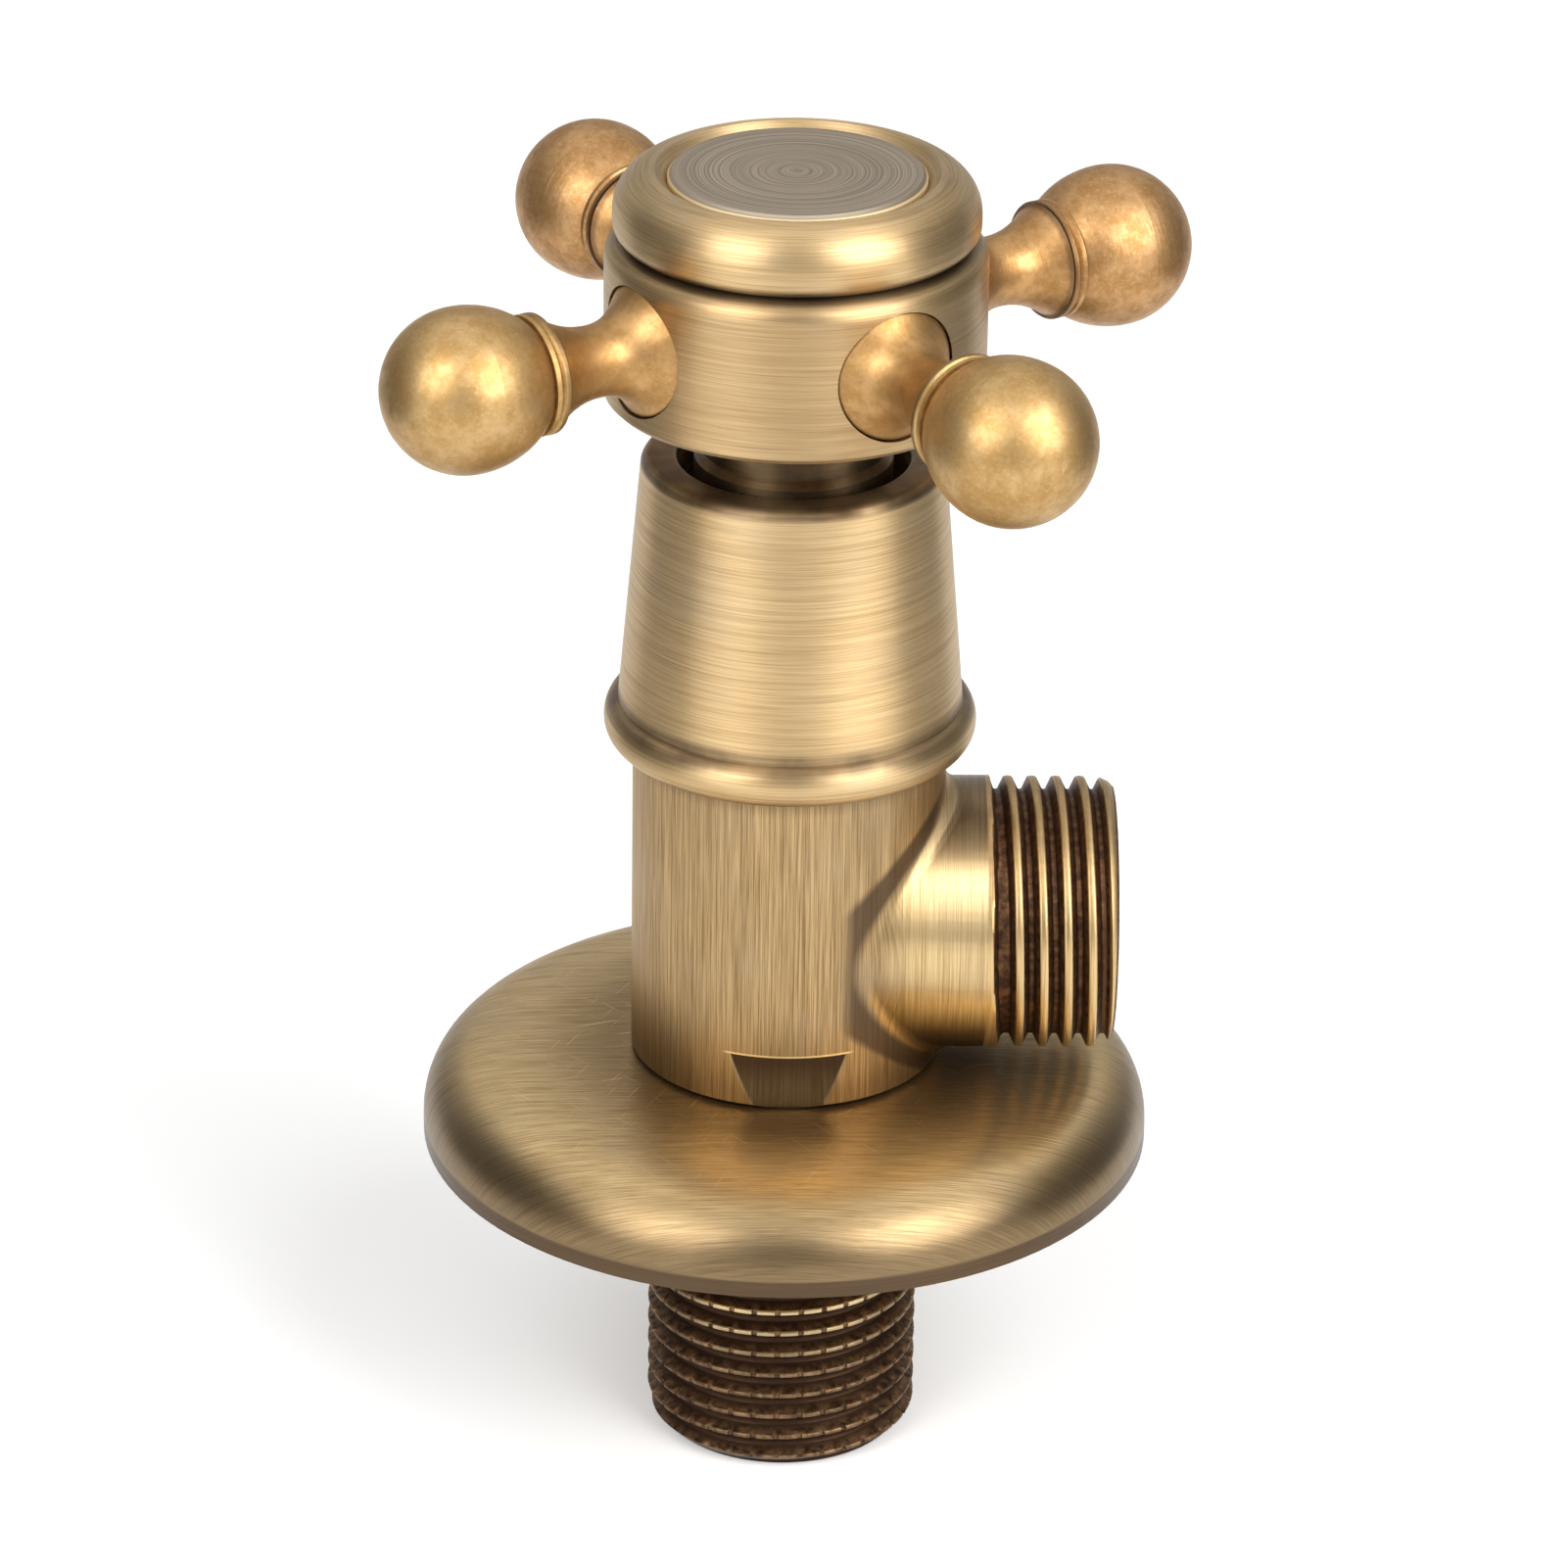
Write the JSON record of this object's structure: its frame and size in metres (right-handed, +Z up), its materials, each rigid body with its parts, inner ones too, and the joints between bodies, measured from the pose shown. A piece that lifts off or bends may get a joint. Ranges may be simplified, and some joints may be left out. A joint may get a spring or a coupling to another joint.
{
  "type": "angle valve",
  "caption": "Quarter-turn angle valve with a spoked cross handle, bell shroud, sliding wall escutcheon and threaded inlet and outlet.",
  "frame": {"origin": "centre of the inlet's end face, on the valve's axis", "axes": "+Z up the valve's axis towards the handle, +X out along the outlet"},
  "size_m": [0.0596, 0.0596, 0.1025],
  "materials": {
    "brushed_brass": "brushed antique brass",
    "turned_brass": "satin turned brass",
    "disc_plate": "brushed antique brass, darker",
    "bare_brass": "machined",
    "steel": "machined",
    "rubber": "smooth",
    "fibre": "matte",
    "ceramic": "polished"
  },
  "bodies": {
    "valve": {"valve_body": "brushed_brass", "headwork_housing": "bare_brass", "headwork_gasket": "fibre", "seat_seal": "rubber", "ceramic_disc_fixed": "ceramic", "bonnet_shroud": "brushed_brass", "shroud_oring": "rubber"},
    "handle": {"handle_hub": "brushed_brass", "spoke_front_left": "turned_brass", "spoke_front_right": "turned_brass", "spoke_back_left": "turned_brass", "spoke_back_right": "turned_brass", "handle_cap": "brushed_brass", "cap_oring": "rubber", "index_disc": "disc_plate", "handle_screw": "steel", "screw_washer": "steel", "spline_bush": "bare_brass", "spindle": "bare_brass", "spindle_oring_lower": "rubber", "spindle_oring_upper": "rubber", "slide_washer": "fibre", "spindle_circlip": "steel", "ceramic_disc_moving": "ceramic"},
    "escutcheon": {"wall_escutcheon": "brushed_brass"}
  },
  "joints": [
    {"name": "handle_turn", "type": "hinge", "parent": "valve", "child": "handle", "pos_m": [0, 0, 0.0912], "axis": [0, 0, 1], "range_deg": [0, 90]},
    {"name": "escutcheon_slide", "type": "slide", "parent": "valve", "child": "escutcheon", "axis": [0, 0, -1], "range_m": [0, 0.0245]}
  ]
}
